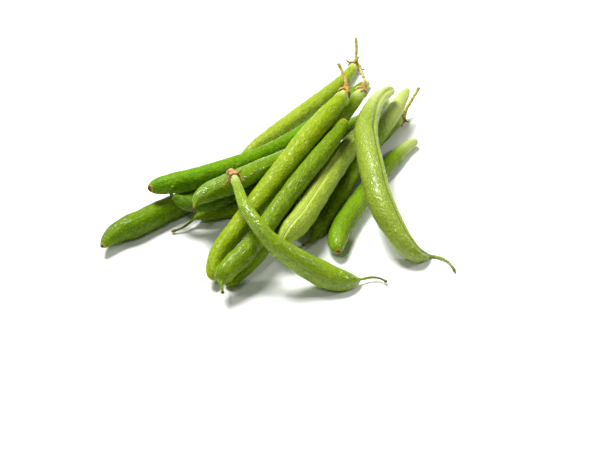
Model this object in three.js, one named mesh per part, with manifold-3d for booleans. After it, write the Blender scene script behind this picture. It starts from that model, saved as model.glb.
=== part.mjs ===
// A loose heap of fresh green beans: fourteen pods, five of which keep their stalk.
// Units are millimetres, +Z is up, and the heap stands on the floor at z = 0.
//
// Each pod is drawn as it is seen from the front, on a sight grid, and is then laid on whatever is already
// below it: the floor, or the pods laid before it. The drawing gives its course and width; the laying gives
// its height, and from the height follows how far back it lies.
import * as THREE from "three";
import Module from "manifold-3d";

// ---------------------------------------------------------------- driving dimensions

const SIGHT_DISTANCE = 750; // from the eye to the floor point the grid's middle looks at
const SIGHT_ELEVATION = 40; // degrees the eye looks down
const GRID_UNIT = 0.45; // mm that one grid step covers at that distance
const GRID_MIDDLE = [300, 225]; // grid x runs right, grid y runs down

const CLEARANCE = 0.3; // air kept between two pods that touch
const REST_FLAT = 0.2; // depth of the flat where a pod rests on the floor
const SLOPE_PULL = 0.2; // mm a pod's middle would rather stand higher than change its first slope by 1 mm

const POD_SAMPLES = 64; // points along a pod while it is laid
const POD_RINGS = 15; // cross-sections along a pod, besides those of its rounded ends
const TAIL_RINGS = 2; // cross-sections for each drawn point of the dried style at a pod's tip
const TAIL_RADIUS = [0.72, 0.42]; // of the dried style, at the pod and at its end
const SEAM_ANGLES = [0, 15, 34, 62, 90, 118, 146, 165]; // degrees round half a cross-section from one seam
const SEAM_RIDGE = 0.02; // the cord along a seam stands this share of the radius above its groove's rim
const SEAM_GROOVE = 0.07; // the groove beside the cord is this share deep
const FLANK_FALL = 0.06; // a pod is this share thinner from flank to flank than from seam to seam
const SEED_PITCH = 12; // distance between two seeds
const SEED_SWELL = 0.03; // share of the radius the skin falls back between two seeds

const PEDICEL_RADIUS = 0.85; // the thin stem
const CUP_WALL = 0.5; // thickness of the calyx cup
const CUP_GAP = 0.32; // air between the cup and the pod
const CUTTER_LENGTH = 7; // how far back from its end a pod is kept clear of its stalk
const SEPAL_WIDTH = 1.5;
const SEPAL_THICKNESS = 0.56;
const SEPAL_STEPS = 4; // cross-sections along a sepal
const SLIVER = 0.05; // seams finer than this are closed where the parts of a stalk join

// Every pod in the order it is laid.
//   spine: [grid x, grid y, seen width in grid steps] from the blossom tip to the stalk end
//   tail: the dried style beyond the tip, as grid points; tailHeight: how high its end stands
//   roll: degrees the seam is turned about the pod's run from straight up
//   arch: mm the middle stands above a straight line
//   sway: mm its tip half lies below that arch, and its stalk half above it
//   ends: height each end is first tried at; pull: how firmly the pod keeps that slope
const PODS = [
  { name: "pod_01", roll: 70, arch: 0, ends: [5, 5],
    spine: [
      [197, 217, 10], [212, 212, 17], [232, 207.5, 20], [265, 198, 19], [300, 185, 17.5],
      [335, 168, 16.5], [370, 146, 16], [391, 127, 13], [402, 116.5, 8.5],
    ],
    tail: [[191, 221.5], [183, 227.5], [171.5, 231.8]], tailHeight: 1.2 },
  { name: "pod_02", roll: 10, arch: 0, ends: [6, 5],
    spine: [
      [101.5, 247, 5.5], [108, 239.5, 15], [116, 233, 20.5], [127, 228, 25], [139, 223, 25.5], [159, 213, 25],
      [190, 199.5, 23], [220, 184, 21], [239, 173, 17], [252, 165, 8],
    ] },
  { name: "pod_04", roll: 0, arch: 1, pull: 0.02, ends: [6, 4],
    spine: [
      [241, 158, 7], [256, 147, 15], [278, 131.5, 18], [309, 109, 18.5], [331, 92, 16.5],
      [342, 82, 14.5], [349.5, 73.5, 11], [355, 65, 9],
    ] },
  { name: "pod_05", roll: 0, arch: 2, pull: 0.2, ends: [16, 8],
    spine: [
      [148, 189, 8], [156, 186.5, 16], [168, 184, 20.5], [185, 181, 22], [210, 174, 21.5],
      [235, 166, 20.5], [262, 156, 20], [290, 142, 19], [318, 123, 17.5], [340, 106, 15.5],
      [356, 92, 12], [368, 82.5, 8],
    ] },
  { name: "pod_03", roll: 50, arch: 0, ends: [12, 8],
    spine: [
      [173, 196, 6], [180, 201, 13], [191, 203.5, 18], [208, 202, 19.5], [235, 192, 18], [262, 180, 17],
      [286, 168, 15], [306, 157, 8],
    ],
    tail: [[169.5, 191.5], [173.5, 186.5]], tailHeight: 23 },
  { name: "pod_06", roll: 30, arch: 7, ends: [20, 6],
    spine: [
      [195, 204, 7], [199, 197, 16], [209, 192, 21], [224, 186.5, 23], [242, 178, 22],
      [262, 168.5, 20.5], [285, 158, 18], [312, 147, 16.5], [340, 133, 15.5], [365, 118, 14],
      [380, 107, 12], [388, 101, 8],
    ],
    tail: [[194, 208], [192.5, 211]], tailHeight: 20 },
  { name: "pod_07", roll: 30, arch: 0, ends: [5, 20],
    spine: [
      [313, 237.5, 9], [316.5, 231.5, 15.5], [322.3, 224, 17.8], [338, 197, 17.5], [358, 165, 17],
      [379.5, 132, 18.5], [393, 113, 18], [401, 100, 14], [408, 89, 6],
    ],
    tail: [[310, 240.5], [303, 246]], tailHeight: 1.5 },
  { name: "pod_08", roll: 60, arch: 0, ends: [5, 5],
    spine: [
      [338.5, 252, 10], [336.8, 244, 18.5], [341.3, 229, 22], [351, 213, 21.5], [364, 194, 19.5],
      [377, 177, 17], [393, 160, 15.5], [404, 149, 12.5], [416.5, 140.5, 8],
    ] },
  { name: "pod_09", roll: 40, arch: 3, pull: 0.05, ends: [4, 22],
    spine: [
      [225.5, 285, 8], [232.5, 279, 16], [239.8, 271.3, 18.5], [254.4, 257.3, 19.5], [267, 240, 18.5],
      [288, 203, 17], [310, 163, 17], [332, 131, 17], [347, 110, 16], [357, 98, 13], [362.5, 90, 9],
    ] },
  { name: "pod_10", roll: 5, arch: 2, pull: 0.3, ends: [3, 20],
    spine: [
      [280, 243.5, 12], [289, 232, 22.5], [299.3, 221.5, 26], [315, 198, 25], [330, 175, 23.5],
      [345, 153, 22], [356, 138, 18], [366, 125, 9],
    ] },
  { name: "pod_11", roll: 10, arch: 2, pull: 0.05, ends: [8, 20],
    spine: [
      [221.5, 282.5, 10], [222.8, 277, 18], [226.8, 270.3, 22], [236.4, 261.3, 22.5], [244.6, 253.5, 22],
      [257, 238, 20.5], [279.5, 207, 20], [302.5, 177, 20], [326, 148, 18], [338, 132.5, 14.5],
      [345, 120.5, 9.5],
    ],
    tail: [[222.2, 288.5], [222.7, 293.2]], tailHeight: 11 },
  { name: "pod_12", roll: -10, arch: 2, ends: [6, 34],
    spine: [
      [213.5, 280, 8], [212.8, 273.5, 13.5], [214, 264.5, 16.5], [220.3, 250.6, 19.3], [231.8, 236, 21.3],
      [261, 197, 22], [288.5, 162, 22.5], [305, 141, 22.5], [323, 120, 21], [335, 106, 17],
      [342, 97, 12], [345.5, 90.5, 9],
    ] },
  { name: "pod_13", roll: 35, arch: 10, pull: 0.02, ends: [5, 36],
    spine: [
      [430, 255.8, 5], [424, 256.3, 9.5], [416.5, 254.5, 15.5], [408, 248.5, 19.3], [399.6, 237.5, 22.5],
      [385.8, 213.4, 26], [378.5, 195, 26.3], [373.5, 175, 26.3], [368, 150, 25.5], [366, 132, 24.3],
      [369.7, 115, 21.5], [375, 104, 17.5], [381, 96.7, 15], [387.5, 92, 12.3], [394, 90.3, 9.5],
    ],
    tail: [[440, 257.5], [448, 261.5], [455, 271]], tailHeight: 1.2 },
  { name: "pod_14", roll: 10, arch: 5, sway: 4, pull: 0.3, ends: [1, 32],
    spine: [
      [360, 279.6, 5.5], [352, 281, 15.5], [341, 280, 22.5], [330, 277.2, 26], [320, 272.8, 26.5],
      [302, 263.3, 25], [286, 253, 22], [273.5, 243.5, 18.8], [263, 232, 16], [252.8, 218.2, 14.5],
      [245, 206.8, 12.8], [237.7, 187, 10], [233.3, 176, 8.3],
    ],
    tail: [[370, 277.5], [379, 278], [387, 282]], tailHeight: 1.5 },
];

// Stalks: the pod each one grows from, and
//   cup: depth of the cup over the pod
//   sepal: length of a sepal; curl: degrees it curls away from the pod; lobes: how many there are;
//   firstLobe: the turn of the first one
//   pedicel: its course on the sight grid; rise: how far each point stands above the pod's end
//   stout: how much thicker than usual the pedicel is
const STALKS = [
  { name: "stalk_01", pod: "pod_01", cup: 2, sepal: 4.2, curl: 115, lobes: 5, firstLobe: 10,
    pedicel: [[405.5, 111.5], [408, 106.5], [413.5, 97], [419.3, 87.5]], rise: [0.5, 2.5, 5, 8] },
  { name: "stalk_04", pod: "pod_04", cup: 1.7, sepal: 4.8, curl: 150, lobes: 5, firstLobe: 20,
    pedicel: [[356, 60.5], [356.3, 55], [356.5, 47], [356, 38]], rise: [0.5, 2, 5, 8] },
  { name: "stalk_09", pod: "pod_09", cup: 1.8, sepal: 3.4, curl: 15, lobes: 5, firstLobe: 20,
    pedicel: [[364.3, 85], [364.5, 80], [362, 73], [359.5, 66]], rise: [0.5, 1, 2, 3] },
  { name: "stalk_12", pod: "pod_12", cup: 1.8, sepal: 3, curl: 35, lobes: 5, firstLobe: 40,
    pedicel: [[346.3, 86], [345.5, 80], [342, 71], [338.5, 63.5]], rise: [0.5, 1.5, 3, 5] },
  { name: "stalk_14", pod: "pod_14", cup: 1.9, sepal: 4.2, curl: 85, lobes: 5, firstLobe: 33,
    pedicel: [[229.5, 170.5]], rise: [1.2], stout: 1.8 },
];

// ---------------------------------------------------------------- the sight grid

const FOCAL = SIGHT_DISTANCE / GRID_UNIT;
const TILT = THREE.MathUtils.degToRad(SIGHT_ELEVATION);
const EYE = new THREE.Vector3(0, -Math.cos(TILT), Math.sin(TILT)).multiplyScalar(SIGHT_DISTANCE);
const AHEAD = EYE.clone().normalize().negate();
const RIGHT = new THREE.Vector3(1, 0, 0);
const UPWARD = new THREE.Vector3().crossVectors(RIGHT, AHEAD);

// The point of a line of sight at height z.
function seenAt([gx, gy], z) {
  const ray = AHEAD.clone().multiplyScalar(FOCAL)
    .addScaledVector(RIGHT, gx - GRID_MIDDLE[0])
    .addScaledVector(UPWARD, GRID_MIDDLE[1] - gy);
  return EYE.clone().addScaledVector(ray, (z - EYE.z) / ray.z);
}
const depthOf = (p) => p.clone().sub(EYE).dot(AHEAD);
const widthAt = (steps, p) => (steps * depthOf(p)) / FOCAL;

// ---------------------------------------------------------------- curves

const lerp = (a, b, t) => a + (b - a) * t;
const smoothLine = (points) => new THREE.CatmullRomCurve3(points, false, "centripetal");

// A smooth run through points [x, y, z, radius], sampled evenly along its length.
function smoothRun(points, count) {
  const curve = smoothLine(points.map((p) => new THREE.Vector3(p[0], p[1], p[2])));
  const steps = 24 * (points.length - 1);
  const dense = [];
  for (let i = 0; i <= steps; i++) {
    const t = (i / steps) * (points.length - 1);
    const k = Math.min(Math.floor(t), points.length - 2);
    const f = t - k;
    const at = (j) => points[Math.min(Math.max(j, 0), points.length - 1)][3];
    const [a, b, c, d] = [at(k - 1), at(k), at(k + 1), at(k + 2)];
    const hermite = b + 0.5 * f * (c - a + f * (2 * a - 5 * b + 4 * c - d + f * (3 * (b - c) + d - a)));
    dense.push({ p: curve.getPoint(i / steps), r: hermite });
  }
  const run = [0];
  for (let i = 1; i <= steps; i++) run.push(run[i - 1] + dense[i].p.distanceTo(dense[i - 1].p));
  const total = run[steps];
  const sample = (s) => {
    let i = 1;
    while (i < steps && run[i] < s) i++;
    const f = (s - run[i - 1]) / (run[i] - run[i - 1] || 1);
    return { s, p: dense[i - 1].p.clone().lerp(dense[i].p, f), r: lerp(dense[i - 1].r, dense[i].r, f) };
  };
  const out = [];
  for (let i = 0; i < count; i++) out.push(sample((total * i) / (count - 1)));
  return { total, sample, out };
}

// ---------------------------------------------------------------- laying the pods

// The run of a pod whose middle lies at height `middle` and whose stalk end stands `rise` above its tip.
function runAt(pod, middle, rise) {
  const along = [0];
  for (let i = 1; i < pod.spine.length; i++) {
    const [from, to] = [pod.spine[i - 1], pod.spine[i]];
    along.push(along[i - 1] + Math.hypot(to[0] - from[0], to[1] - from[1]));
  }
  const points = pod.spine.map(([gx, gy, w], i) => {
    const f = along[i] / along[along.length - 1];
    const bend = pod.arch * (4 * f * (1 - f) - 0.7) - (pod.sway ?? 0) * Math.sin(2 * Math.PI * f);
    const z = middle + rise * (f - 0.5) + bend;
    const p = seenAt([gx, gy], z);
    return [p.x, p.y, z, widthAt(w, p) / 2];
  });
  return smoothRun(points, POD_SAMPLES);
}

// The least air between a run and the floor or the pods below it, less the clearance they keep.
function airUnder(run, below) {
  let least = Infinity, on = "";
  for (const { p, r } of run.out) {
    const air = p.z - r + REST_FLAT;
    if (air < least) { least = air; on = "floor"; }
    for (const other of below)
      for (const q of other.run.out) {
        const dx = p.x - q.p.x, dy = p.y - q.p.y, dz = p.z - q.p.z, reach = r + q.r + CLEARANCE + least;
        const square = dx * dx + dy * dy + dz * dz;
        if (square < reach * reach) { least = Math.sqrt(square) - r - q.r - CLEARANCE; on = other.name; }
      }
  }
  return { least, on };
}

// From the height it is first tried at, a pod goes down until it touches, or up until it is free. Of the
// slopes it could lie at, it takes the one that lets its middle lie lowest.
function layPod(pod, below) {
  const start = (pod.ends[0] + pod.ends[1]) / 2;
  const lowest = (rise) => {
    const free = (z) => airUnder(runAt(pod, z, rise), below).least >= 0;
    let high = start, low;
    if (free(high)) {
      low = high;
      while (free(low)) { high = low; low -= 1; }
    } else {
      while (!free(high)) { low = high; high += 1; }
    }
    for (let i = 0; i < 6; i++) { const z = (low + high) / 2; if (free(z)) high = z; else low = z; }
    return high;
  };
  const drawn = pod.ends[1] - pod.ends[0];
  const cost = (rise) => lowest(rise) + (pod.pull ?? SLOPE_PULL) * Math.abs(rise - drawn);
  let rise = drawn, best = cost(rise);
  for (const step of [8, 4, 2, 1, 0.5])
    for (const way of [1, -1])
      for (;;) {
        const z = cost(rise + way * step);
        if (z >= best - 0.01) break;
        best = z;
        rise += way * step;
      }
  const middle = lowest(rise);
  return { ...pod, run: runAt(pod, middle, rise), middle, rise };
}

const laid = [];
for (const pod of PODS) laid.push(layPod(pod, laid));

// ---------------------------------------------------------------- solids

const { Manifold, Mesh: ManifoldMesh } = await Module().then((m) => (m.setup(), m));

// A closed tube through stations { p, rows }, where rows holds one ring of points; a pole closes each end.
function closedTube(rings, firstPole, lastPole) {
  const sides = rings[0].length;
  const points = [firstPole, ...rings.flat(), lastPole];
  const at = (ring, k) => 1 + ring * sides + ((k + sides) % sides);
  const faces = [];
  for (let k = 0; k < sides; k++) faces.push(0, at(0, k + 1), at(0, k));
  for (let ring = 0; ring + 1 < rings.length; ring++)
    for (let k = 0; k < sides; k++) {
      faces.push(at(ring, k), at(ring, k + 1), at(ring + 1, k + 1));
      faces.push(at(ring, k), at(ring + 1, k + 1), at(ring + 1, k));
    }
  const end = points.length - 1;
  for (let k = 0; k < sides; k++) faces.push(end, at(rings.length - 1, k), at(rings.length - 1, k + 1));
  return { points, faces };
}

// Directions across a run of points: `up` starts square to the run and turns with it, without twisting.
function framesAlong(points, upAt, middle) {
  const tangents = points.map((_, i) =>
    points[Math.min(i + 1, points.length - 1)].clone().sub(points[Math.max(i - 1, 0)]).normalize());
  const ups = [];
  ups[middle] = upAt.clone().addScaledVector(tangents[middle], -upAt.dot(tangents[middle])).normalize();
  const carry = (from, to) => {
    ups[to] = ups[from].clone().addScaledVector(tangents[to], -ups[from].dot(tangents[to])).normalize();
  };
  for (let i = middle + 1; i < points.length; i++) carry(i - 1, i);
  for (let i = middle - 1; i >= 0; i--) carry(i + 1, i);
  const sides = points.map((_, i) => new THREE.Vector3().crossVectors(tangents[i], ups[i]));
  return points.map((p, i) => ({ p, t: tangents[i], up: ups[i], side: sides[i] }));
}

// The point that lies `reach` from a frame's middle, at an angle from its up direction.
const around = ({ p, up, side }, angle, reach) =>
  p.clone().addScaledVector(up, Math.cos(angle) * reach).addScaledVector(side, Math.sin(angle) * reach);

const RADIANS = Math.PI / 180;
const FULL_RING = [...SEAM_ANGLES, 180, ...SEAM_ANGLES.slice(1).map((a) => 360 - a).reverse()];

// How far the skin stands at an angle from the seam, as a share of the radius. The walls between the seams
// also fall back between two seeds.
function section(angle, seeds) {
  const fromSeam = Math.min(angle % 180, 180 - (angle % 180));
  if (fromSeam < 1) return 1 - SEAM_GROOVE + SEAM_RIDGE;
  if (fromSeam < 20) return 1 - SEAM_GROOVE;
  return (1 - FLANK_FALL * Math.sin(fromSeam * RADIANS) ** 4) * seeds;
}

// The rounded ends: the radius falls away along a quarter of an ellipse.
const rounded = (s, length) => (s >= length ? 1 : Math.sqrt(Math.max(0, 1 - (1 - s / length) ** 2)));

function podSolid(pod) {
  const { run } = pod, total = run.total;
  const tipRound = run.sample(0).r * 1.1, stalkRound = run.sample(total).r * 0.9;
  const marks = [0.14, 0.5, 1].map((f) => f * tipRound);
  for (let i = 1; i <= POD_RINGS; i++) marks.push(lerp(tipRound, total - stalkRound, i / POD_RINGS));
  marks.push(total - 0.5 * stalkRound, total - 0.12 * stalkRound);
  const stations = marks.map((s) => {
    const { p, r } = run.sample(s);
    const hollow = 0.5 + 0.5 * Math.cos((2 * Math.PI * s) / SEED_PITCH);
    const seeds = 1 - SEED_SWELL * hollow * rounded(s, SEED_PITCH) * rounded(total - s, SEED_PITCH);
    return { p, r: r * rounded(s, tipRound) * rounded(total - s, stalkRound), seeds };
  });
  const first = run.sample(0).p.clone(), last = run.sample(total).p.clone();
  let pole = first;
  if (pod.tail) {
    const count = pod.tail.length;
    const course = pod.tail.map((g, i) => seenAt(g, lerp(first.z, pod.tailHeight, (i + 1) / count)));
    const curve = smoothLine([stations[3].p, first, ...course]);
    const steps = TAIL_RINGS * count;
    const from = 1 / (count + 1);
    for (let i = 1; i <= steps; i++) {
      const f = i / steps;
      const r = lerp(TAIL_RADIUS[0], TAIL_RADIUS[1], f);
      stations.unshift({ p: curve.getPoint(lerp(from, 1, f)), r, seeds: 1 });
    }
    stations.splice(steps, 1); // the tail takes the place of the smallest ring of the rounded tip
    pole = curve.getPoint(1).clone().lerp(curve.getPoint(0.98), -0.4);
  }
  const middle = Math.floor(stations.length / 2);
  const run3 = stations.map((o) => o.p);
  const t = run3[middle + 1].clone().sub(run3[middle - 1]).normalize();
  const straightUp = new THREE.Vector3(0, 0, 1).addScaledVector(t, -t.z).normalize();
  const upAt = straightUp.applyAxisAngle(t, pod.roll * RADIANS);
  const frames = framesAlong(run3, upAt, middle);
  const rings = stations.map((o, i) =>
    FULL_RING.map((angle) => around(frames[i], angle * RADIANS, o.r * section(angle, o.seeds))));
  return closedTube(rings, pole, last);
}

// A plain round tube along points, with a radius at each.
function roundTube(points, radii, sides, upAt) {
  const frames = framesAlong(points, upAt, 0);
  const rings = frames.map((frame, i) =>
    Array.from({ length: sides }, (_, k) => around(frame, (2 * Math.PI * k) / sides, radii[i])));
  const n = points.length - 1;
  const pole = (i, way) => points[i].clone().addScaledVector(frames[i].t, way * 0.1 * radii[i]);
  return closedTube(rings, pole(0, -1), pole(n, 1));
}

function toManifold({ points, faces }) {
  const vertProperties = new Float32Array(points.flatMap((p) => [p.x, p.y, p.z]));
  return new Manifold(new ManifoldMesh({ numProp: 3, vertProperties, triVerts: new Uint32Array(faces) }));
}

// The outside of a pod's stalk end, grown by a margin: `length` of the pod, and `extra` beyond its end.
function podEnd(run, upAt, out, margin, length, extra) {
  const end = run.sample(run.total);
  const marks = [length, length * 0.6, length * 0.3].filter((m) => m > end.r * 0.7);
  marks.push(end.r * 0.45, end.r * 0.12);
  const stations = marks.map((m) => run.sample(run.total - m));
  const points = stations.map((o) => o.p);
  const radii = stations.map((o, i) => o.r * rounded(marks[i], end.r * 0.9) + margin);
  points.push(end.p.clone().addScaledVector(out, extra));
  radii.push(Math.max(radii[radii.length - 1] * 0.75, 0.5));
  return toManifold(roundTube(points, radii, 12, upAt));
}

// One sepal: a thin blade that starts on the pod and curls away from it.
function sepalSolid(root, out, outward, length, curl) {
  const points = [];
  const halfWidths = [];
  const p = root.clone();
  for (let i = 0; i <= SEPAL_STEPS; i++) {
    points.push(p.clone());
    halfWidths.push((SEPAL_WIDTH / 2) * Math.sqrt(1 - (i / (SEPAL_STEPS + 0.35)) ** 2));
    const heading = curl * ((i + 1) / SEPAL_STEPS) * RADIANS;
    const step = length / SEPAL_STEPS;
    p.addScaledVector(out, -Math.cos(heading) * step).addScaledVector(outward, Math.sin(heading) * step);
  }
  const across = new THREE.Vector3().crossVectors(outward, out);
  const frames = framesAlong(points, outward, 0);
  const rings = frames.map(({ p: middle, up }, i) =>
    Array.from({ length: 6 }, (_, j) => {
      const a = (2 * Math.PI * j) / 6;
      return middle.clone()
        .addScaledVector(up, (Math.cos(a) * SEPAL_THICKNESS) / 2)
        .addScaledVector(across, Math.sin(a) * halfWidths[i]);
    }));
  const pole = (i, way) => points[i].clone().addScaledVector(frames[i].t, way);
  return toManifold(closedTube(rings, pole(0, -0.1), pole(SEPAL_STEPS, 0.12)));
}

// A stalk: the cup over the pod's end, its sepals and the pedicel in one, kept clear of the pod.
function stalkSolid(stalk, pod) {
  const { run } = pod, total = run.total;
  const end = run.sample(total), before = run.sample(total - 2);
  const out = end.p.clone().sub(before.p).normalize();
  const upAt = new THREE.Vector3(0, 0, 1).addScaledVector(out, -out.z).normalize();
  const acrossAt = new THREE.Vector3().crossVectors(out, upAt);
  const wall = CUP_GAP + CUP_WALL;
  const parts = [podEnd(run, upAt, out, wall, stalk.cup, wall + 0.3)];

  const rim = run.sample(total - stalk.cup * 0.6);
  for (let k = 0; k < stalk.lobes; k++) {
    const turn = (stalk.firstLobe + (360 * k) / stalk.lobes) * RADIANS;
    const outward = upAt.clone().multiplyScalar(Math.cos(turn)).addScaledVector(acrossAt, Math.sin(turn));
    const root = rim.p.clone().addScaledVector(outward, rim.r + CUP_GAP + 0.15);
    const length = stalk.sepal * (1 + 0.18 * Math.sin(2.7 * k + stalk.firstLobe));
    parts.push(sepalSolid(root, out, outward, length, stalk.curl * (1 + 0.15 * Math.cos(1.9 * k))));
  }

  const start = end.p.clone().addScaledVector(out, CUP_GAP + 0.15);
  const curve = smoothLine([start, ...stalk.pedicel.map((g, i) => seenAt(g, end.p.z + stalk.rise[i]))]);
  const steps = stalk.pedicel.length > 1 ? 6 : 2;
  const points = [];
  const radii = [];
  for (let i = 0; i <= steps; i++) {
    const flare = 0.55 * Math.exp(-1.2 * i) + (i === steps ? 0.12 : 0); // at the cup, and at the cut end
    points.push(curve.getPoint(i / steps));
    radii.push(PEDICEL_RADIUS * (1 + flare) * (stalk.stout ?? 1));
  }
  parts.push(toManifold(roundTube(points, radii, 8, upAt)));

  const whole = Manifold.union(parts).subtract(podEnd(run, upAt, out, CUP_GAP, CUTTER_LENGTH, CUP_GAP));
  const aboveFloor = whole.trimByPlane([0, 0, 1], 0); // a sepal that points down is pressed flat
  return aboveFloor.simplify(SLIVER).decompose().sort((a, b) => b.volume() - a.volume())[0];
}

// ---------------------------------------------------------------- the group

const POD_COLOURS = {
  pod_01: 0x6f9e1e, pod_02: 0x5f9420, pod_03: 0x6b961f, pod_04: 0x86b52a, pod_05: 0x5a9a1c,
  pod_06: 0x7fa62a, pod_07: 0x8fb045, pod_08: 0x86ae2c, pod_09: 0x7ca229, pod_10: 0x93ba2e,
  pod_11: 0x7ca229, pod_12: 0x8ab42a, pod_13: 0xa6c161, pod_14: 0x86aa26,
};
const STALK_COLOUR = 0xb7a24c;

function meshOf(name, { points, faces }, colour) {
  const geometry = new THREE.BufferGeometry();
  const onFloor = points.flatMap((p) => [p.x, p.y, Math.max(p.z, 0)]);
  geometry.setAttribute("position", new THREE.Float32BufferAttribute(onFloor, 3));
  geometry.setIndex(faces);
  geometry.computeVertexNormals();
  const mesh = new THREE.Mesh(geometry, new THREE.MeshStandardMaterial({ color: colour, roughness: 0.55 }));
  mesh.name = name;
  return mesh;
}

// A joined solid as points and faces.
function fromManifold(solid) {
  const { vertProperties, triVerts, numVert, numProp } = solid.getMesh();
  const points = [];
  for (let i = 0; i < numVert; i++)
    points.push(new THREE.Vector3().fromArray(vertProperties, i * numProp));
  return { points, faces: Array.from(triVerts) };
}

const group = new THREE.Group();
for (const pod of laid) group.add(meshOf(pod.name, podSolid(pod), POD_COLOURS[pod.name]));
for (const stalk of STALKS) {
  const pod = laid.find((other) => other.name === stalk.pod);
  group.add(meshOf(stalk.name, fromManifold(stalkSolid(stalk, pod)), STALK_COLOUR));
}

// The heap's middle stands over the origin.
const box = new THREE.Box3().setFromObject(group);
group.position.set(-(box.min.x + box.max.x) / 2, -(box.min.y + box.max.y) / 2, 0);

export default group;
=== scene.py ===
# %% [markdown]
# # A heap of fresh green beans
# Fourteen French beans lie across each other on a pale floor. The plain solids of the heap are already in
# place and keep their sizes. This lesson gives each one the living form and skin of a real pod: seams, seed
# swellings, a dried tip, and on five of them a withered calyx with its stem.

# %% Load the plain solids
import math

import bmesh
import bpy
import numpy as np
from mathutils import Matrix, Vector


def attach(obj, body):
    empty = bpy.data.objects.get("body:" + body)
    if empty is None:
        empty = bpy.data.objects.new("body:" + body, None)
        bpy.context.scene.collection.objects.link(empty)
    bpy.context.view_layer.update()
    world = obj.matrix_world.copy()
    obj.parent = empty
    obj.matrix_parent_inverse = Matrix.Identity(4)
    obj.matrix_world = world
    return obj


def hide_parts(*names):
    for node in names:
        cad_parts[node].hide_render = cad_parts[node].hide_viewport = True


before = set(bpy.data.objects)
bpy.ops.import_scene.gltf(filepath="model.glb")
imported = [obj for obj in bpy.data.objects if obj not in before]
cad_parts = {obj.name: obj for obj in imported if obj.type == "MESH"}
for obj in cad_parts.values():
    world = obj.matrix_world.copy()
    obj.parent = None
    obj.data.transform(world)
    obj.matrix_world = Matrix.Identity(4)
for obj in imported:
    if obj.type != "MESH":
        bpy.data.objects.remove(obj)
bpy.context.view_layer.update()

MM = 0.001
print("plain solids:", len(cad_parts))

# %% [markdown]
# ## The eye
# The eye looks down at 40 degrees from 750 mm away, as one looks at food on a table. It is made first, so
# that every later step can be judged from it. A 100 mm lens over a frame 36 mm wide takes in 270 mm there,
# which leaves a margin of floor round the heap.

# %% Camera
SIGHT_POINT = (9.95 * MM, -38.49 * MM)  # the floor point that the eye looks at
SIGHT_DISTANCE = 750 * MM
SIGHT_ELEVATION = math.radians(40)

camera = bpy.data.objects.new("eye", bpy.data.cameras.new("eye"))
bpy.context.scene.collection.objects.link(camera)
camera.data.sensor_width = 36
camera.data.lens = 100
camera.location = (
    SIGHT_POINT[0],
    SIGHT_POINT[1] - SIGHT_DISTANCE * math.cos(SIGHT_ELEVATION),
    SIGHT_DISTANCE * math.sin(SIGHT_ELEVATION),
)
camera.rotation_euler = (math.pi / 2 - SIGHT_ELEVATION, 0, 0)
bpy.context.scene.camera = camera
print("eye at", tuple(round(c, 3) for c in camera.location))


# %% [markdown]
# ## Helpers for materials
# Colours are written as the hex values a painter would pick on a screen, and one function turns them into
# the linear values the renderer adds up. A second function adds a node, sets it, links it and hands back
# one of its outputs, so a material reads as a recipe from top to bottom. A third hands over a material with
# nothing in it yet. Some nodes have several sockets of one name, so those are called by number. On
# MapRange 0 is the value, 1 and 2 are the ends it runs between, and 3 and 4 what they become. On Mix 0 is
# the share, 6 the colour at none of it and 7 the colour at all of it.

# %% Colour and node helpers
def linear(hex_colour):
    """The linear RGBA of an sRGB colour such as "8fb32a"."""
    parts = [int(hex_colour[i:i + 2], 16) / 255 for i in (0, 2, 4)]
    return (*[c / 12.92 if c <= 0.04045 else ((c + 0.055) / 1.055) ** 2.4 for c in parts], 1)


def add(tree, kind, output, inputs, **settings):
    """Adds a node and returns one of its outputs. settings are the node's own properties; inputs give a
    value or another node's output to each socket."""
    made = tree.nodes.new("ShaderNode" + kind)
    for name, value in settings.items():
        setattr(made, name, value)
    for socket, value in inputs.items():
        if isinstance(value, bpy.types.NodeSocket):
            tree.links.new(value, made.inputs[socket])
        else:
            made.inputs[socket].default_value = value
    return None if output is None else made.outputs[output]


def new_material(name):
    """An empty material and its node tree."""
    material = bpy.data.materials.new(name)
    material.use_nodes = True
    material.node_tree.nodes.clear()
    return material, material.node_tree


# %% [markdown]
# ## Floor
# The heap lies on a sheet of matt paper, almost white. Being matt, the paper shows no lamp, takes a soft
# shadow, and throws a little light back up under the beans.

# %% Lay the floor
FLOOR_SIZE = 8  # metres, so that its edges stay far from the heap

bpy.ops.object.select_all(action="DESELECT")
bpy.ops.mesh.primitive_plane_add(size=FLOOR_SIZE)
floor = bpy.context.object
floor.name = "floor"
floor_material, tree = new_material("matt white paper")
paper = add(tree, "BsdfPrincipled", "BSDF", {"Base Color": linear("f6f6f4"), "Roughness": 0.9})
add(tree, "OutputMaterial", None, {"Surface": paper})
floor.data.materials.append(floor_material)
print("floor:", FLOOR_SIZE, "m of", floor_material.name)

# %% [markdown]
# ## Lamps
# The main light is a large soft box high up behind the heap on the left, so that soft shadows fall to the
# front right. Wax mirrors a lamp only where the pod lies at the right angle to it, and the beans lie at many
# angles. So three weak lamps stand in for the rest of a bright room, and add white sparks where the main
# light gives none: one in front, one far to the right, and a narrow strip behind. A weak white surround
# fills the shadows. One strong small lamp would give sparks too, but also hard shadows.

# %% Hang the lamps
HEAP_MIDDLE = Vector((0, 0, 0))
SURROUND = 0.1  # strength


def soft_box(name, place, size, power):
    """A rectangular studio lamp that looks from its place at the middle of the heap. Metres and watts."""
    light = bpy.data.lights.new(name, "AREA")
    light.shape = "RECTANGLE"
    light.size, light.size_y = size
    light.energy = power
    lamp = bpy.data.objects.new(name, light)
    bpy.context.scene.collection.objects.link(lamp)
    lamp.location = place
    lamp.rotation_euler = (HEAP_MIDDLE - Vector(place)).to_track_quat("-Z", "Y").to_euler()


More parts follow.
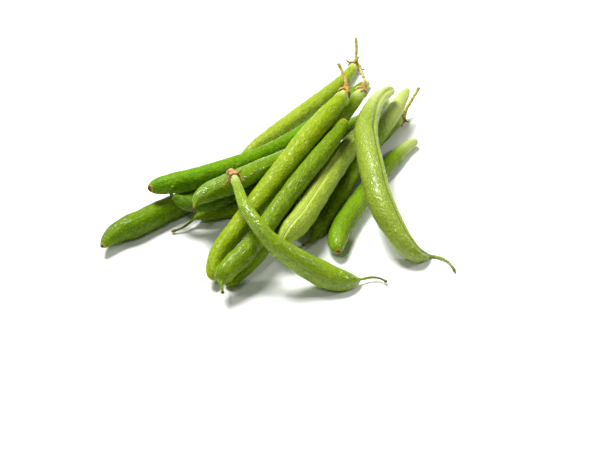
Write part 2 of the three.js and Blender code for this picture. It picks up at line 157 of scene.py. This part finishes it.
soft_box("top", (-0.32, 0.36, 1.12), (0.5, 0.5), 28)
soft_box("front glint", (-0.24, -0.56, 0.86), (0.09, 0.09), 1.4)
soft_box("back glint", (-0.3, 0.72, 0.82), (0.05, 0.4), 2.2)
soft_box("side glint", (0.86, 0, 0.64), (0.12, 0.12), 3)

world = bpy.data.worlds.new("white studio")
world.use_nodes = True
world.node_tree.nodes["Background"].inputs["Color"].default_value = (1, 1, 1, 1)
world.node_tree.nodes["Background"].inputs["Strength"].default_value = SURROUND
bpy.context.scene.world = world
bpy.context.scene.view_settings.view_transform = "Standard"
bpy.context.scene.view_settings.look = "None"
bpy.context.scene.view_settings.exposure = 0
print("lamps: a soft main light, three weak ones for sparks, and a white surround")


# %% [markdown]
# ## The course of a pod
# A pod is a bent tube whose thickness changes along it. Its plain solid already holds both facts: every
# cross-section of it is a ring of points. Walking from the tip, ring by ring, gives the middle, the radius
# and the direction of the seam at each place. Drawing the course again by hand would only copy that less
# exactly. The two seams of a plain solid are alike, so a list says on which pods the back lies underneath.
# Points are taken in the order of their numbers, so that every run adds them up alike.

# %% Read the rings of a plain pod
WELD = 0.002 * MM  # points of a plain solid that are closer than this are one point
FULL_RING = 12  # with fewer points than this it is no ring but the pole at an end
MEAN_SECTION = 0.958  # mean reach of the plain section's points, as a share of its radius
BACK_UNDERNEATH = ("pod_01", "pod_02", "pod_03", "pod_06", "pod_07", "pod_09", "pod_12", "pod_14")


def rings_of(node):
    """Middles, radii and seam directions of a plain pod's rings, from its blossom tip to its stalk end."""
    shape = bmesh.new()
    shape.from_mesh(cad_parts[node].data)
    bmesh.ops.remove_doubles(shape, verts=shape.verts, dist=WELD)
    shape.verts.index_update()
    # each end is a fan, so its pole has the most edges, and the tip is the pole nearer the front
    poles = sorted(shape.verts, key=lambda v: -len(v.link_edges))[:2]
    level = [min(poles, key=lambda v: v.co.y)]
    seen = set(level)
    rings = []
    while level:
        rings.append(np.array([v.co for v in level]))
        ahead = {e.other_vert(v) for v in level for e in v.link_edges} - seen
        seen |= ahead
        level = sorted(ahead, key=lambda v: v.index)
    shape.free()
    middles = np.array([ring.mean(0) for ring in rings])
    radii = np.array([np.linalg.norm(r - m, axis=1).mean() for r, m in zip(rings, middles)]) / MEAN_SECTION
    tangents = np.gradient(middles, axis=0)
    seams = [seam_of(ring, m, t) for ring, m, t in zip(rings, middles, tangents)]
    half = len(rings) // 2
    if (seams[half][2] < 0) != (node in BACK_UNDERNEATH):
        seams[half] = -seams[half]
    # outwards from the middle ring, each seam goes on from the one before
    for i in [*range(half - 1, -1, -1), *range(half + 1, len(rings))]:
        before = seams[i + 1 if i < half else i - 1]
        if seams[i] is None:
            seams[i] = before
        elif seams[i] @ before < 0:
            seams[i] = -seams[i]
    return middles, radii, np.array(seams)


def seam_of(ring, middle, tangent):
    """The direction in which a ring's points crowd together, which is where its seam runs."""
    if len(ring) < FULL_RING:
        return None
    tangent = tangent / np.linalg.norm(tangent)
    side = np.cross(tangent, (0, 0, 1.0))
    side /= np.linalg.norm(side)
    up = np.cross(side, tangent)
    angles = np.sort(np.arctan2((ring - middle) @ side, (ring - middle) @ up))
    gaps = np.diff(np.append(angles, angles[0] + 2 * math.pi))
    crowd = np.maximum(gaps, np.roll(gaps, 1))
    first, second = angles[np.argsort(crowd)[:2]]

    def direction(a):
        return math.cos(a) * up + math.sin(a) * side

    both = direction(first) - direction(second)
    return both / np.linalg.norm(both)


courses = {name: rings_of(name) for name in sorted(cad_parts) if name.startswith("pod")}
for name, (middles, radii, seams) in courses.items():
    run = np.linalg.norm(np.diff(middles, axis=0), axis=1).sum()
    thickness = 2 * radii.max()
    print("%s: %d rings, %.0f mm long, %.1f mm thick" % (name, len(radii), run / MM, thickness / MM))

# %% [markdown]
# ## A straight pod
# A tube is simplest to model while it is straight. A cylinder with a fan at each end is added once and cut
# into many rings in edit mode; every pod starts as a copy of it. Sixteen sides were enough for the plain
# solid, but a seam is a groove under a millimetre wide, so this one has many more.

# %% Model the straight tube
SIDES = 96
CUTS = 15  # each of two passes cuts every upright edge into 16
LEVEL_EDGE = 1e-5  # an edge that climbs less than this lies level, on a ring

bpy.ops.object.select_all(action="DESELECT")
bpy.ops.mesh.primitive_cylinder_add(vertices=SIDES, radius=1, depth=1, end_fill_type="TRIFAN")
straight = bpy.context.object
straight.name = "straight_tube"
for _ in range(2):
    bpy.ops.object.mode_set(mode="EDIT")
    bpy.ops.mesh.select_mode(type="EDGE")
    bpy.ops.mesh.select_all(action="DESELECT")
    bpy.ops.object.mode_set(mode="OBJECT")
    for edge in straight.data.edges:
        low, high = (straight.data.vertices[i].co.z for i in edge.vertices)
        edge.select = abs(high - low) > LEVEL_EDGE
    bpy.ops.object.mode_set(mode="EDIT")
    bpy.ops.mesh.subdivide(number_cuts=CUTS)
    bpy.ops.object.mode_set(mode="OBJECT")
print("straight tube:", len(straight.data.vertices), "points")


# %% [markdown]
# ## Laying the tube along a pod's course
# Two helpers do the carrying. One draws a smooth curve through the values read from the rings. The other
# makes noise that repeats exactly each run, for the small unevenness of anything that grew.

# %% Smooth curves and steady noise
def smooth_curve(x, values, at):
    """Values on a smooth curve through (x, values), for each place in at."""
    values = np.asarray(values, float).reshape(len(x), -1)
    slopes = np.gradient(values, x, axis=0)
    i = np.clip(np.searchsorted(x, at, side="right") - 1, 0, len(x) - 2)
    step = (x[i + 1] - x[i])[:, None]
    f = ((at - x[i])[:, None]) / step
    a, b, da, db = values[i], values[i + 1], slopes[i] * step, slopes[i + 1] * step
    return (
        a * (1 + 2 * f) * (1 - f) ** 2 + da * f * (1 - f) ** 2
        + b * f * f * (3 - 2 * f) + db * f * f * (f - 1)
    )


def waves(x, pitch, seed, count=5):
    """A steady sum of sine waves about one pitch long, between -1 and 1."""
    draw = np.random.default_rng(seed)
    pitches = pitch * draw.uniform(0.7, 1.6, count)
    phases = draw.uniform(0, 2 * math.pi, count)
    return sum(np.sin(2 * math.pi * x / p + q) for p, q in zip(pitches, phases)) / count


# %% [markdown]
# ## The form of a bean pod
# Two seams run the length of a pod, one on the back and one on the belly, where its halves join. Each is a
# fine cord lying in a shallow groove, with a soft lip on either side. Between the seams the walls swell a
# little over every seed and fall back between seeds, and no two swellings are alike. The pod is a few per
# cent thinner from wall to wall than from seam to seam.

# %% Shape one pod
CROWD = 0.9  # how much closer the rings stand at the ends than in the middle
END_GAP = 0.03 * MM  # from each pole to the first ring
HALF_STEP = 0.4 * MM  # the course's direction is taken from this far on either side
CORD_WIDTH = 0.42 * MM
GROOVE_WIDTH = 0.95 * MM
LIP_OFF = 1.6 * MM  # from the seam to the top of the lip on either side
LIP_HEIGHT = 0.3  # share of the groove's depth
BELLY_GROOVE = 0.5  # share of the depth on the back
FULL_RADIUS = 3.2 * MM  # a thinner stretch has fainter seams and swellings
THIN_RADIUS = 1.2 * MM  # a stretch thinner than this shows no line beside the seam
SEED_PITCH = 11 * MM
SEED_SWELL = 0.03  # share of the radius
UNEVEN = 0.016  # share of the radius
WALL_FALL = 0.05  # share of the radius that is missing half-way between the seams
FLOOR_GAP = 0.02 * MM  # nothing lies closer to the floor


def shape_pod(piece, node, seed, groove, cord):
    """Carries the straight tube's points onto the course of a plain pod, with seams and swellings."""
    middles, radii, seams = courses[node]
    along = np.append(0, np.cumsum(np.linalg.norm(np.diff(middles, axis=0), axis=1)))
    length = along[-1]
    co = np.empty(len(piece.data.vertices) * 3)
    piece.data.vertices.foreach_get("co", co)
    co = co.reshape(-1, 3)
    angle = np.arctan2(co[:, 1], co[:, 0])
    on_wall = np.hypot(co[:, 0], co[:, 1]) > 0.5  # all points but the two poles
    t = co[:, 2] + 0.5
    s = length * (t - CROWD * np.sin(2 * math.pi * t) / (2 * math.pi))
    s = np.where(on_wall, np.clip(s, END_GAP, length - END_GAP), s)
    middle = smooth_curve(along, middles, s)
    radius = np.sqrt(np.maximum(smooth_curve(along, radii ** 2, s)[:, 0], 0)) * on_wall
    tangent = smooth_curve(along, middles, np.clip(s + HALF_STEP, 0, length))
    tangent = tangent - smooth_curve(along, middles, np.clip(s - HALF_STEP, 0, length))
    tangent /= np.linalg.norm(tangent, axis=1)[:, None]
    seam = smooth_curve(along, seams, s)
    seam -= (seam * tangent).sum(1)[:, None] * tangent
    seam /= np.linalg.norm(seam, axis=1)[:, None]
    side = np.cross(tangent, seam)
    # how far round the wall a point is from the nearer seam
    turn = np.minimum(abs(angle), math.pi - abs(angle))
    off_seam = turn * radius
    wall = np.sin(turn) ** 2
    full = np.clip(radius / FULL_RADIUS, 0, 1) ** 2
    back = abs(angle) < math.pi / 2
    # the seam: a groove that fades in and out along the pod, the cord in it, and the lips beside it
    depth = np.where(back, groove, groove * BELLY_GROOVE) * full * (1 + 0.4 * waves(s, 21 * MM, seed + 3))
    reach = radius * (1 - WALL_FALL * wall ** 2)
    reach -= depth * np.exp(-(off_seam / GROOVE_WIDTH) ** 2)
    reach += depth * cord * np.exp(-(off_seam / CORD_WIDTH) ** 2)
    reach += depth * LIP_HEIGHT * np.exp(-((off_seam - LIP_OFF) / (0.5 * LIP_OFF)) ** 2)
    # a swelling over each seed, at uneven distances and heights, and then the fine unevenness of the wall
    lobes = np.cos(2 * math.pi * s / SEED_PITCH + 1.5 * waves(s, 40 * MM, seed))
    reach += radius * full * wall * SEED_SWELL * (0.6 * lobes + 0.5 * waves(s, 17 * MM, seed + 1))
    reach += radius * full * UNEVEN * waves(s + 3 * MM * np.sin(2 * angle), 7 * MM, seed + 2)
    place = middle + (np.cos(angle) * reach)[:, None] * seam + (np.sin(angle) * reach)[:, None] * side
    place[:, 2] = np.maximum(place[:, 2], FLOOR_GAP)
    piece.data.vertices.foreach_set("co", place.ravel())
    write_attribute(piece, "tip", s)
    write_attribute(piece, "butt", length - s)
    write_attribute(piece, "seam", off_seam + (radius < THIN_RADIUS) * 2 * MM)
    write_attribute(piece, "skin", np.stack([np.cos(angle) * radius, np.sin(angle) * radius, s], 1))


def write_attribute(piece, name, values):
    """Keeps a number or a vector for each point of a mesh, for its material to read."""
    kind, field = ("FLOAT", "value") if values.ndim == 1 else ("FLOAT_VECTOR", "vector")
    attribute = piece.data.attributes.new(name, kind, "POINT")
    attribute.data.foreach_set(field, values.astype(np.float32).ravel())


# %% [markdown]
# ## Pod skin
# A fresh pod is a waxy, slightly translucent skin over wet flesh, with a down of hairs too short to see one
# by one. The eye sees a yellow-green mottled with paler flecks, a pale cord where the seam runs, with
# painted shade along the groove on either side and a painted highlight on the lips beyond, and a very faint
# bloom from the down where the skin turns away. Low blisters and fine pimples break the gloss into sparks,
# and some flecks of the wax are smoother than the rest. The tip, where the flower sat, dries brown. On some
# pods the whole tail dries to olive. The neck is paler than the rest, partly in its own colour and partly
# as a painted highlight where the raised stalk ends catch the light.
# Light enters the flesh a millimetre or two and comes out yellower, so the shader has some subsurface light.
# The pimples are a third of a millimetre wide on a real bean and are drawn three times as wide here, so
# that they show. How waxy a pod is differs from one to the next, but more wax than here makes a shaded pod
# hazy, because it mirrors the white floor.

# %% Pod skin material
# how wide the marks of the skin are, and how much shorter the pattern is along the pod than across it
GRAIN = 0.6 * MM
FLECK = 1.3 * MM
PATCH = 8 * MM
PIMPLE = 0.9 * MM
BLISTER = 3 * MM
DRAWN_OUT = 0.55
# painted shade: the dark lines along the seam's groove
SEAM_GROOVE_PAINTED_SHADE = linear("3a5200")
STRAW = linear("a98d3a")
BROWN = linear("4f2f10")
OLIVE = linear("56560e")
# the paler neck: partly the pod's own colour, partly a painted highlight on raised stalk ends
NECK_PALE_AND_PAINTED_LIGHT = linear("b6c070")
SMOOTH = {"interpolation_type": "SMOOTHSTEP"}
COLOURS = {"data_type": "RGBA"}


def pod_skin(name, light, mid, deep, cord, crease, neck, stain, scar, gloss, wax, tail):
    """Waxy skin in three greens.

    cord: how far a pale cord fills the seam; crease: strength of the painted shade along the groove
    beside the cord, of the painted highlight on the lips and of the cord's paleness
    neck: mm of paler skin at the stalk end, partly a painted highlight; scar: mm of dry skin there
    stain: place and radius in mm of the dried tip; tail: mm of olive tail
    gloss: roughness; wax: strength of the gloss
    """
    material, tree = new_material(name)
    skin = add(tree, "Attribute", "Vector", {}, attribute_name="skin")
    seam = add(tree, "Attribute", "Fac", {}, attribute_name="seam")
    butt = add(tree, "Attribute", "Fac", {}, attribute_name="butt")
    tip = add(tree, "Attribute", "Fac", {}, attribute_name="tip")
    drawn_out = add(tree, "Mapping", "Vector", {"Vector": skin, "Scale": (1, 1, DRAWN_OUT)})
    patch = add(tree, "TexNoise", "Fac", {"Vector": drawn_out, "Scale": 1 / PATCH, "Detail": 2.0})
    fleck = add(tree, "TexNoise", "Fac", {"Vector": drawn_out, "Scale": 1 / FLECK, "Detail": 3.0})
    grain = add(tree, "TexNoise", "Fac", {"Vector": skin, "Scale": 1 / GRAIN, "Detail": 2.0})
    blister = add(tree, "TexNoise", "Fac", {"Vector": drawn_out, "Scale": 1 / BLISTER, "Detail": 1.0})
    cell = add(tree, "TexVoronoi", "Distance", {"Vector": drawn_out, "Scale": 1 / PIMPLE})

    # three greens: deep patches, the middle green, light flecks and grain
    share = add(tree, "MapRange", "Result", {0: patch, 1: 0.25, 2: 0.6, 3: 0.4}, **SMOOTH)
    colour = add(tree, "Mix", 2, {0: share, 6: linear(deep), 7: linear(mid)}, **COLOURS)
    both = add(tree, "Math", 0, {0: grain, 1: 1.6, 2: fleck}, operation="MULTIPLY_ADD")
    share = add(tree, "MapRange", "Result", {0: both, 1: 1.1, 2: 1.75, 4: 0.65}, **SMOOTH)
    colour = add(tree, "Mix", 2, {0: share, 6: colour, 7: linear(light)}, **COLOURS)
    share = add(tree, "MapRange", "Result", {0: both, 1: 1.3, 2: 0.95, 4: 0.32}, **SMOOTH)
    colour = add(tree, "Mix", 2, {0: share, 6: colour, 7: linear(deep)}, **COLOURS)

    # the seam: a painted highlight on the lip, then painted shade along the groove, then the cord
    share = add(tree, "MapRange", "Result", {0: seam, 1: 1.9 * MM, 2: 1.0 * MM, 4: 0.5 * crease}, **SMOOTH)
    colour = add(tree, "Mix", 2, {0: share, 6: colour, 7: linear(light)}, **COLOURS)
    share = add(tree, "MapRange", "Result", {0: seam, 1: 0.75 * MM, 2: 0.45 * MM, 4: crease}, **SMOOTH)
    colour = add(tree, "Mix", 2, {0: share, 6: colour, 7: SEAM_GROOVE_PAINTED_SHADE}, **COLOURS)
    pale = 0.9 * cord * crease
    share = add(tree, "MapRange", "Result", {0: seam, 1: 0.42 * MM, 2: 0.2 * MM, 4: pale}, **SMOOTH)
    colour = add(tree, "Mix", 2, {0: share, 6: colour, 7: linear(light)}, **COLOURS)

    # the paler neck, partly a painted highlight, and the dry scar where a stalk broke off
    share = add(tree, "MapRange", "Result", {0: butt, 1: neck * MM, 2: 0.3 * neck * MM, 4: 0.75}, **SMOOTH)
    colour = add(tree, "Mix", 2, {0: share, 6: colour, 7: NECK_PALE_AND_PAINTED_LIGHT}, **COLOURS)
    ragged = add(tree, "Math", 0, {0: fleck, 1: 1.6 * MM, 2: butt}, operation="MULTIPLY_ADD")
    share = add(tree, "MapRange", "Result", {0: ragged, 1: (scar + 1.4) * MM, 2: (scar + 0.6) * MM}, **SMOOTH)
    colour = add(tree, "Mix", 2, {0: share, 6: colour, 7: STRAW}, **COLOURS)

    # the tail, which dries to olive from its end
    share = add(tree, "MapRange", "Result", {0: tip, 1: (tail + 0.01) * MM, 2: 0.0, 4: 0.9}, **SMOOTH)
    colour = add(tree, "Mix", 2, {0: share, 6: colour, 7: OLIVE}, **COLOURS)

    # the dried tip, with a straw-coloured edge
    middle = tuple(c * MM for c in stain[:3])
    off = add(tree, "VectorMath", "Value", {0: skin, 1: middle}, operation="DISTANCE")
    ragged = add(tree, "Math", 0, {0: fleck, 1: 1.4 * MM, 2: off}, operation="MULTIPLY_ADD")
    edge = (stain[3] + 0.7) * MM
    outer, inner = edge + 1.3 * MM, edge + 0.2 * MM
    share = add(tree, "MapRange", "Result", {0: ragged, 1: outer, 2: inner, 4: 0.8}, **SMOOTH)
    colour = add(tree, "Mix", 2, {0: share, 6: colour, 7: STRAW}, **COLOURS)
    share = add(tree, "MapRange", "Result", {0: ragged, 1: edge + 0.5 * MM, 2: edge - 0.4 * MM}, **SMOOTH)
    colour = add(tree, "Mix", 2, {0: share, 6: colour, 7: BROWN}, **COLOURS)

    # low blisters and pimples in the wax, and flecks where it is smoother, which break the gloss into sparks
    pimple = add(tree, "MapRange", "Result", {0: cell, 1: 0.6, 2: 0.1, 4: 1.8}, **SMOOTH)
    height = add(tree, "Math", 0, {0: blister, 1: 3.0, 2: pimple}, operation="MULTIPLY_ADD")
    bump = add(tree, "Bump", "Normal", {"Strength": 0.8, "Distance": 0.1 * MM, "Height": height})
    spark = add(tree, "MapRange", "Result", {0: fleck, 1: 0.48, 2: 0.55}, **SMOOTH)
    rough = add(tree, "MapRange", "Result", {0: spark, 3: gloss + 0.3, 4: gloss - 0.06})
    shader = add(tree, "BsdfPrincipled", "BSDF", {
        "Base Color": colour, "Roughness": rough, "IOR": 1.4, "Specular IOR Level": wax, "Normal": bump,
        "Subsurface Weight": 0.12, "Subsurface Radius": (0.7, 1.0, 0.1), "Subsurface Scale": 1.2 * MM,
        "Sheen Weight": 0.02, "Sheen Roughness": 0.4, "Sheen Tint": linear("e6f0c8"),
    })
    add(tree, "OutputMaterial", None, {"Surface": shader})
    return material


# %% [markdown]
# ## Fourteen pods
# No two pods of a heap are alike: some are younger and greener, some paler, and their seams, tips and wax
# differ. Some greens also carry painted light and shade: the green bright is lighter than pod_10 itself,
# to make up for the shade it lies in, and the greens dark and shade are darker partly to paint the shade
# that the pods above throw on pods 02 and 03. Each kind of green has a light colour for flecks, a middle
# one, and a deep one for patches, and each pod has one line that says how it differs. With one loop over
# the lines, a pod is changed in one place.

# %% Choose the greens
GREENS = {
    "pale": ("a8b64c", "7e9222", "5c7a08"),
    "yellow": ("a4b01c", "7c9404", "5c7800"),
    "sunny": ("a8b43c", "84981c", "667e0c"),
    # painted light: this green is lighter than the pod, to make up for the shade on pod_10
    "bright": ("b8c458", "8ca22a", "6a840e"),
    "fresh": ("a0b226", "6e8c04", "4c7000"),
    "leaf": ("8ca016", "628600", "426800"),
    "vivid": ("80a008", "568200", "3a6400"),
    "moss": ("8ca014", "607e00", "405c00"),
    # painted shade: these two greens are partly darker for the shade that falls on pods 02 and 03
    "dark": ("7c9210", "527400", "365400"),
    "shade": ("6c8408", "426400", "2a4600"),
}
print("greens:", ", ".join(GREENS))

# %% Describe each pod
NO_SCAR = -2  # mm, so far below nothing that no trace of it shows
NO_STAIN = (0, 0, 0, -2)  # the same, as the radius of a dried tip
# Its green; depth in mm of the seam's groove, share of it that the cord fills, strength of the painted
# shade and highlight at the seam; mm of pale neck, partly a painted highlight; the dried tip's place and
# radius in mm; mm of scar; roughness and strength of the gloss; mm of olive tail.
PODS = {
    "pod_01": ("moss", 0.20, 0.6, 0.2, 10, (0, 0, 0, 0.2), NO_SCAR, 0.30, 0.15, 14),
    "pod_02": ("dark", 0.34, 0.9, 0.5, 8, (0, 0, 0, 0.9), NO_SCAR, 0.30, 0.15, 0),
    "pod_03": ("shade", 0.20, 0.6, 0.2, 8, (1, 1, 1.5, 0.6), NO_SCAR, 0.30, 0.15, 0),
    "pod_04": ("sunny", 0.12, 0.6, 0.1, 8, NO_STAIN, NO_SCAR, 0.34, 0.2, 0),
    "pod_05": ("vivid", 0.12, 0.6, 0.1, 8, (0, 0, 0, 1.8), NO_SCAR, 0.32, 0.15, 0),
    "pod_06": ("leaf", 0.14, 0.6, 0.15, 8, (-1.5, 1, 0.4, 1.9), NO_SCAR, 0.20, 0.45, 0),
    "pod_07": ("moss", 0.16, 0.6, 0.2, 44, NO_STAIN, NO_SCAR, 0.32, 0.15, 12),
    "pod_08": ("leaf", 0.30, 0.9, 0.55, 20, (0, 0, 0, 0.9), NO_SCAR, 0.28, 0.25, 0),
    "pod_09": ("moss", 0.20, 0.6, 0.2, 12, NO_STAIN, NO_SCAR, 0.30, 0.15, 0),
    "pod_10": ("bright", 0.55, 0.9, 0.75, 10, NO_STAIN, NO_SCAR, 0.30, 0.2, 0),
    "pod_11": ("moss", 0.14, 0.6, 0.15, 0.5, NO_STAIN, 1.6, 0.26, 0.2, 6),
    "pod_12": ("yellow", 0.14, 0.6, 0.1, 8, (1.5, 0, 1.0, 0.9), NO_SCAR, 0.30, 0.2, 0),
    "pod_13": ("pale", 0.5, 0.0, 0.55, 34, NO_STAIN, NO_SCAR, 0.18, 0.5, 11),
    "pod_14": ("fresh", 0.14, 0.6, 0.15, 10, NO_STAIN, NO_SCAR, 0.14, 0.55, 13),
}
print("pods described:", len(PODS))


# %% Make the fourteen pods
SEED_STEP = 10  # each pod has a few numbers of its own for its steady noise


def make_pod(index, node, green, groove, cord, *finish):
    """One finished pod in place of its plain solid."""
    bpy.ops.object.select_all(action="DESELECT")
    straight.select_set(True)
    bpy.context.view_layer.objects.active = straight
    bpy.ops.object.duplicate()
    piece = bpy.context.object
    piece.name = node.replace("pod", "bean")
    piece.data.name = piece.name
    shape_pod(piece, node, SEED_STEP * index, groove * MM, cord)
    bpy.ops.object.shade_smooth()
    piece.data.materials.append(pod_skin("fresh pod skin " + node[-2:], *GREENS[green], cord, *finish))
    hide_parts(node)
    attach(piece, "root")
    return piece


beans = [make_pod(i, node, *values) for i, (node, values) in enumerate(PODS.items())]
bpy.data.objects.remove(straight)
print("beans:", len(beans))

# %% [markdown]
# ## Calyx and stem
# Where the flower's green cup was, a withered collar of five sepals stays, and the short stem goes on from
# it. Both are dry plant fibre, which looks matt and streaky, brown on the calyx and greener on the stem. The
# fibres are a tenth of a millimetre wide and are drawn five times as wide here, so that they show.

# %% Stalk material
FIBRE = 0.5 * MM
WITHER = 1.6 * MM  # how wide the dark and pale patches are
FIBRE_SHADE = linear("6a4312")


def stalk_skin(name, dark, pale, stem_dark, stem_pale):
    """Dried plant fibre: one pair of colours on the calyx, another on the stem."""
    material, tree = new_material(name)
    place = add(tree, "TexCoord", "Object", {})
    patch = add(tree, "TexNoise", "Fac", {"Vector": place, "Scale": 1 / WITHER, "Detail": 4.0})
    fibre = add(tree, "TexNoise", "Fac", {"Vector": place, "Scale": 1 / FIBRE, "Detail": 3.0})
    stem = add(tree, "Attribute", "Fac", {}, attribute_name="stem")
    share = add(tree, "MapRange", "Result", {0: patch, 1: 0.38, 2: 0.62}, **SMOOTH)
    dry = add(tree, "Mix", 2, {0: share, 6: linear(dark), 7: linear(pale)}, **COLOURS)
    fresh = add(tree, "Mix", 2, {0: share, 6: linear(stem_dark), 7: linear(stem_pale)}, **COLOURS)
    colour = add(tree, "Mix", 2, {0: stem, 6: dry, 7: fresh}, **COLOURS)
    share = add(tree, "MapRange", "Result", {0: fibre, 1: 0.55, 2: 0.35, 4: 0.4}, **SMOOTH)
    colour = add(tree, "Mix", 2, {0: share, 6: colour, 7: FIBRE_SHADE}, **COLOURS)
    bump = add(tree, "Bump", "Normal", {"Strength": 0.6, "Distance": 0.15 * MM, "Height": fibre})
    shader = add(tree, "BsdfPrincipled", "BSDF", {
        "Base Color": colour, "Roughness": 0.55, "IOR": 1.45, "Normal": bump,
        "Subsurface Weight": 0.1, "Subsurface Radius": (1.0, 0.7, 0.3), "Subsurface Scale": 0.8 * MM,
    })
    add(tree, "OutputMaterial", None, {"Surface": shader})
    return material


# %% [markdown]
# ## Five stalks
# The plain solid has the true sizes of a calyx and its stem, but hard edges where its tubes meet. A voxel
# remesh melts the joins into one skin, a little smoothing rounds it, and a fine noise crumples it. That
# wears the thin sepals down and leaves the stem a little thick, so the sepals are then swelled and the stem
# slimmed by a fraction of a millimetre. Modelling each sepal anew would give the same form for more work.

# %% Make the five stalks
VOXEL = 0.14 * MM
CRUMPLE_PITCH = 1.2 * MM
CRUMPLE_HEIGHT = 0.4 * MM
CALYX_REACH = 2.8 * MM  # from the end of the pod; beyond it the calyx passes into the stem
CALYX_TO_STEM = 1.5 * MM  # length of that passage
SEPAL_SWELL = 0.3 * MM
STEM_SHRINK = 0.12 * MM

crumple = bpy.data.textures.new("crumple", "CLOUDS")
crumple.noise_scale = CRUMPLE_PITCH
crumple.noise_depth = 2


def make_stalk(node, *colours):
    """A rounded and crumpled calyx and stem in place of the plain one."""
    bpy.ops.object.select_all(action="DESELECT")
    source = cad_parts[node]
    piece = bpy.data.objects.new(node.replace("stalk", "calyx"), source.data.copy())
    bpy.context.scene.collection.objects.link(piece)
    piece.select_set(True)
    bpy.context.view_layer.objects.active = piece
    bpy.ops.object.mode_set(mode="EDIT")
    bpy.ops.mesh.select_all(action="SELECT")
    bpy.ops.mesh.remove_doubles(threshold=WELD)
    bpy.ops.object.mode_set(mode="OBJECT")
    remesh = piece.modifiers.new("melt", "REMESH")
    remesh.mode = "VOXEL"
    remesh.voxel_size = VOXEL
    smooth = piece.modifiers.new("round", "SMOOTH")
    smooth.iterations = 4
    noise = piece.modifiers.new("crumple", "DISPLACE")
    noise.texture = crumple
    noise.texture_coords = "LOCAL"
    noise.strength = CRUMPLE_HEIGHT
    noise.mid_level = 0.32
    for modifier in list(piece.modifiers):
        bpy.ops.object.modifier_apply(modifier=modifier.name)
    bpy.ops.object.shade_smooth()
    end = courses[node.replace("stalk", "pod")][0][-1]
    co = np.array([v.co for v in piece.data.vertices])
    far = np.linalg.norm(co - end, axis=1)
    stem = np.clip((far - CALYX_REACH) / CALYX_TO_STEM, 0, 1)
    write_attribute(piece, "stem", stem)
    outward = np.array([v.normal for v in piece.data.vertices])
    co += outward * (SEPAL_SWELL * (1 - stem) - STEM_SHRINK * stem)[:, None]
    co[:, 2] = np.maximum(co[:, 2], FLOOR_GAP)
    piece.data.vertices.foreach_set("co", co.ravel())
    piece.data.materials.clear()
    piece.data.materials.append(stalk_skin("dried " + piece.name, *colours))
    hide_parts(node)
    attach(piece, "root")
    print(piece.name, len(piece.data.polygons), "faces")


# dark and pale colours of the calyx, then of the stem
STALKS = {
    "stalk_01": ("74681c", "a89838", "84841c", "b0b040"),
    "stalk_04": ("946420", "c09a44", "847a22", "aca43c"),
    "stalk_09": ("86521a", "bc8e44", "967a3c", "c8b880"),
    "stalk_12": ("8c5e1a", "c09640", "8c7420", "b8a440"),
    "stalk_14": ("8c5a26", "d0a468", "947034", "c8aa6c"),
}
for node, colours in STALKS.items():
    make_stalk(node, *colours)
